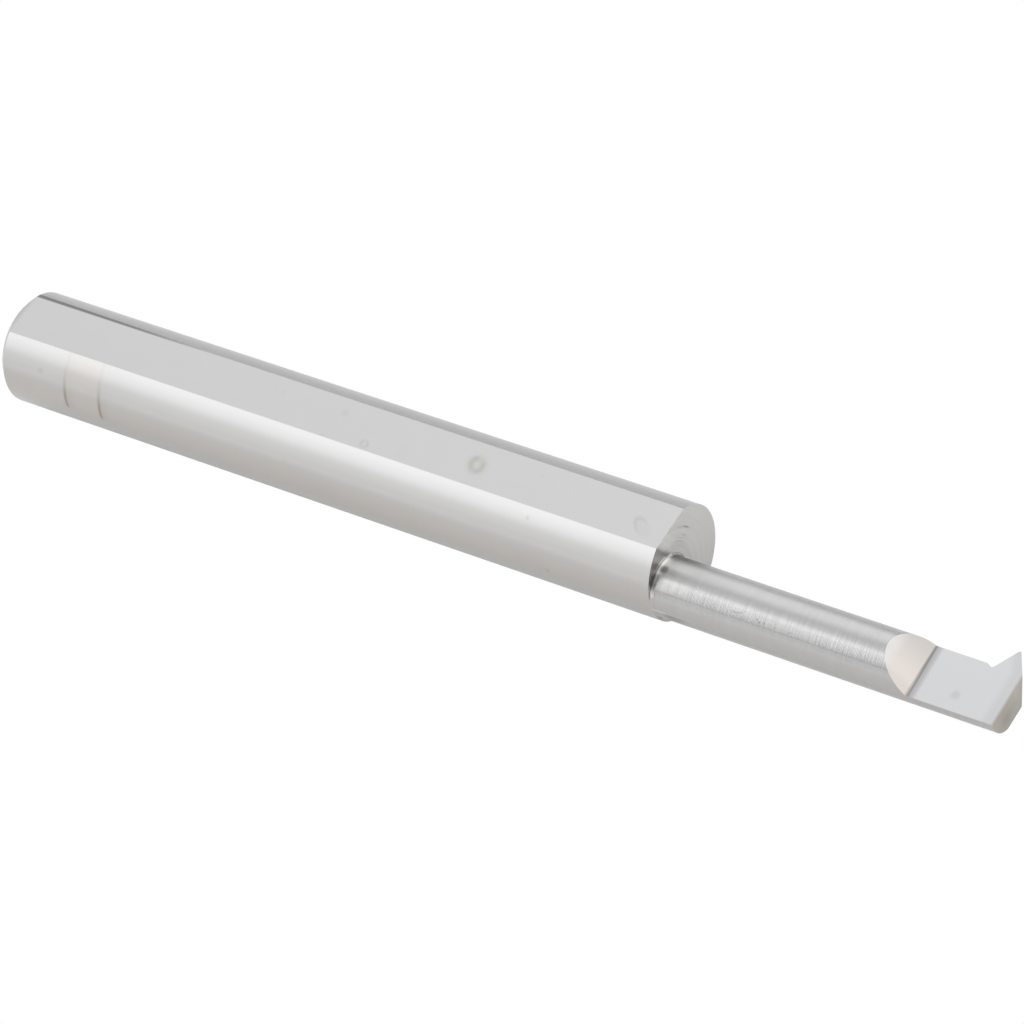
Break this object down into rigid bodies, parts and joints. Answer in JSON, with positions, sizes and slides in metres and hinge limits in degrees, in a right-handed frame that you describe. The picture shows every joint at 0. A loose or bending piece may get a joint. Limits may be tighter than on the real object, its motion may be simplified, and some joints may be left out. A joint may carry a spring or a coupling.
{
  "type": "internal threading tool",
  "caption": "One-piece ground carbide bar with a flatted round shank, an off-centre neck and a 60 degree thread-cutting tooth.",
  "frame": {"origin": "centre of the shoulder where the shank ends and the neck begins, on the shank's axis", "axes": "+X along the shank's axis to the cutting end, +Y to the tooth, +Z square to the clamping flat and the rake face, which both look up"},
  "size_m": [0.0635, 0.0064, 0.0061],
  "materials": {
    "ground_carbide": "fine ground, uncoated, light grey"
  },
  "bodies": {
    "root": {"threading_tool": "ground_carbide"}
  },
  "joints": []
}
